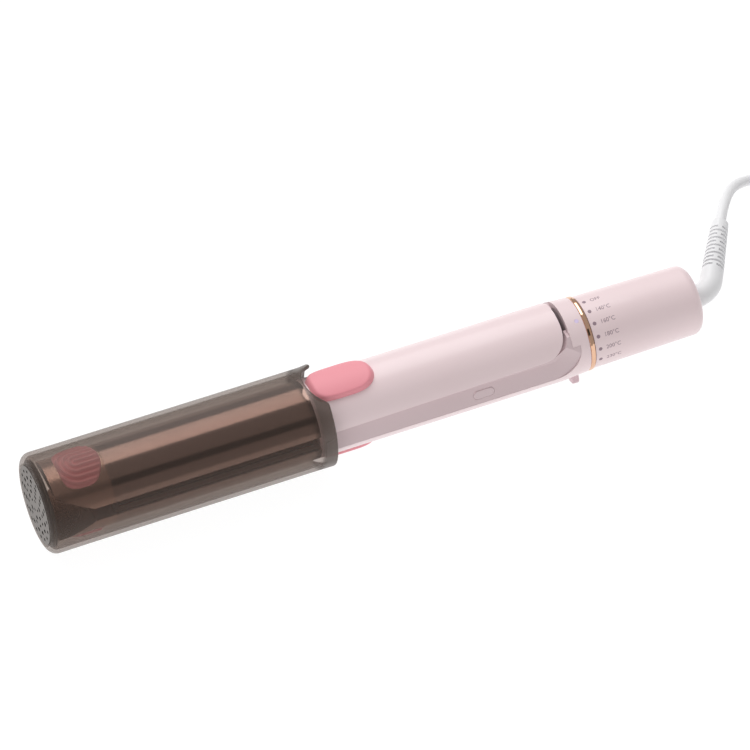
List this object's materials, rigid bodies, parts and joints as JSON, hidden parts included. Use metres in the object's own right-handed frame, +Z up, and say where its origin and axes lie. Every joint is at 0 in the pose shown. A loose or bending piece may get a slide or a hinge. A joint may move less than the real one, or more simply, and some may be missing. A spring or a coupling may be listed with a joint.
{
  "type": "curling wand",
  "caption": "Hinged two-in-one hair straightener and round curling wand with a soft heat sleeve over the barrel, a turning dial at the rear and a swivel cord.",
  "frame": {"origin": "on the surface that the wand lies on, under the middle of the wand without its cord", "axes": "+X along the wand from the tip to the cord end, +Z up through the upper arm"},
  "size_m": [0.4388, 0.1492, 0.0436],
  "materials": {
    "pink_shell": "smooth satin moulded plastic",
    "pink_pad": "soft satin moulded plastic",
    "frame_plastic": "matt moulded plastic",
    "sleeve_silicone": "smoky see-through silicone, satin",
    "bronze": "bronze ceramic coating, satin",
    "heat_plastic": "heat-proof dark plastic",
    "plate_ceramic": "ceramic-coated aluminium, glossy",
    "rose_gold": "polished rose-gold plating",
    "steel": "plain steel",
    "brass": "turned brass",
    "aluminium": "heater casing",
    "silicone_cushion": "soft silicone",
    "board": "glass-fibre board",
    "black_plastic": "matt black plastic",
    "wire": "insulated wire",
    "led": "milky lens",
    "white_cord": "white satin cord covering",
    "white_plastic": "white moulded plastic",
    "tie": "soft strap",
    "nickel": "nickel-plated brass"
  },
  "bodies": {
    "lower_arm": {"lower_shell": "pink_shell", "lower_frame": "frame_plastic", "lower_barrel": "bronze", "lower_tip": "heat_plastic", "lower_tip_pad": "pink_pad", "lower_thumb_pad": "pink_pad", "lower_plate_frame": "heat_plastic", "lower_plate_cushions": "silicone_cushion", "lower_heater_wires": "wire", "lower_screws": "steel", "hinge_pin": "steel", "arm_spring": "steel", "circuit_board": "board", "tact_switch": "black_plastic", "mains_wires": "wire", "dial_encoder": "black_plastic", "led_lens": "led", "trim_ring": "rose_gold", "rear_tube": "black_plastic", "swivel_bush": "brass"},
    "upper_arm": {"upper_shell": "pink_shell", "upper_frame": "frame_plastic", "upper_barrel": "bronze", "upper_tip": "heat_plastic", "upper_tip_pad": "pink_pad", "upper_thumb_pad": "pink_pad", "upper_plate_frame": "heat_plastic", "upper_plate_cushions": "silicone_cushion", "upper_heater_wires": "wire", "upper_screws": "steel"},
    "upper_plate_set": {"upper_plate": "plate_ceramic", "upper_heater": "aluminium"},
    "lower_plate_set": {"lower_plate": "plate_ceramic", "lower_heater": "aluminium"},
    "sleeve": {"heat_sleeve": "sleeve_silicone", "sleeve_vent_disc": "heat_plastic"},
    "dial": {"temperature_dial": "pink_shell"},
    "lock": {"lock_slider": "frame_plastic"},
    "button": {"mode_button": "frame_plastic"},
    "cord": {"swivel_spindle": "white_plastic", "cord_guard": "white_plastic", "cord_run": "white_cord", "cord_coil": "white_cord", "coil_tie": "tie", "cord_tail": "white_cord", "plug_relief": "white_plastic", "plug_body": "white_plastic", "plug_pins": "nickel"}
  },
  "joints": [
    {"name": "sleeve_pull", "type": "slide", "parent": "lower_arm", "child": "sleeve", "axis": [-1, 0, 0], "range_m": [0, 0.2], "deforming": ["heat_sleeve"]},
    {"name": "arm_open", "type": "hinge", "parent": "lower_arm", "child": "upper_arm", "pos_m": [0.07635, 0, 0.0268], "axis": [0, 1, 0], "range_deg": [0, 10], "stiffness_Nm_per_rad": 0.4, "springref_deg": 20.05, "deforming": ["arm_spring"]},
    {"name": "upper_plate_float", "type": "slide", "parent": "upper_arm", "child": "upper_plate_set", "axis": [0, 0, 1], "range_m": [0, 0.0008], "stiffness_N_per_m": 3000, "springref_m": -0.0008, "deforming": ["upper_plate_cushions"]},
    {"name": "lower_plate_float", "type": "slide", "parent": "lower_arm", "child": "lower_plate_set", "axis": [0, 0, -1], "range_m": [0, 0.0008], "stiffness_N_per_m": 3000, "springref_m": -0.0008, "deforming": ["lower_plate_cushions"]},
    {"name": "dial_turn", "type": "hinge", "parent": "lower_arm", "child": "dial", "pos_m": [0.12, 0, 0.0218], "axis": [1, 0, 0], "range_deg": [-73, 32]},
    {"name": "lock_slide", "type": "slide", "parent": "lower_arm", "child": "lock", "axis": [-1, 0, 0], "range_m": [0, 0.004]},
    {"name": "button_press", "type": "slide", "parent": "lower_arm", "child": "button", "axis": [0, 1, 0], "range_m": [0, 0.0008], "stiffness_N_per_m": 800, "springref_m": -0.0008},
    {"name": "cord_swivel", "type": "hinge", "parent": "lower_arm", "child": "cord", "pos_m": [0.14, 0, 0.0218], "axis": [1, 0, 0], "continuous": true}
  ],
  "couplings": [
    {"joint": "arm_open", "follows": "sleeve_pull", "rad_per_m": 0.8726}
  ]
}
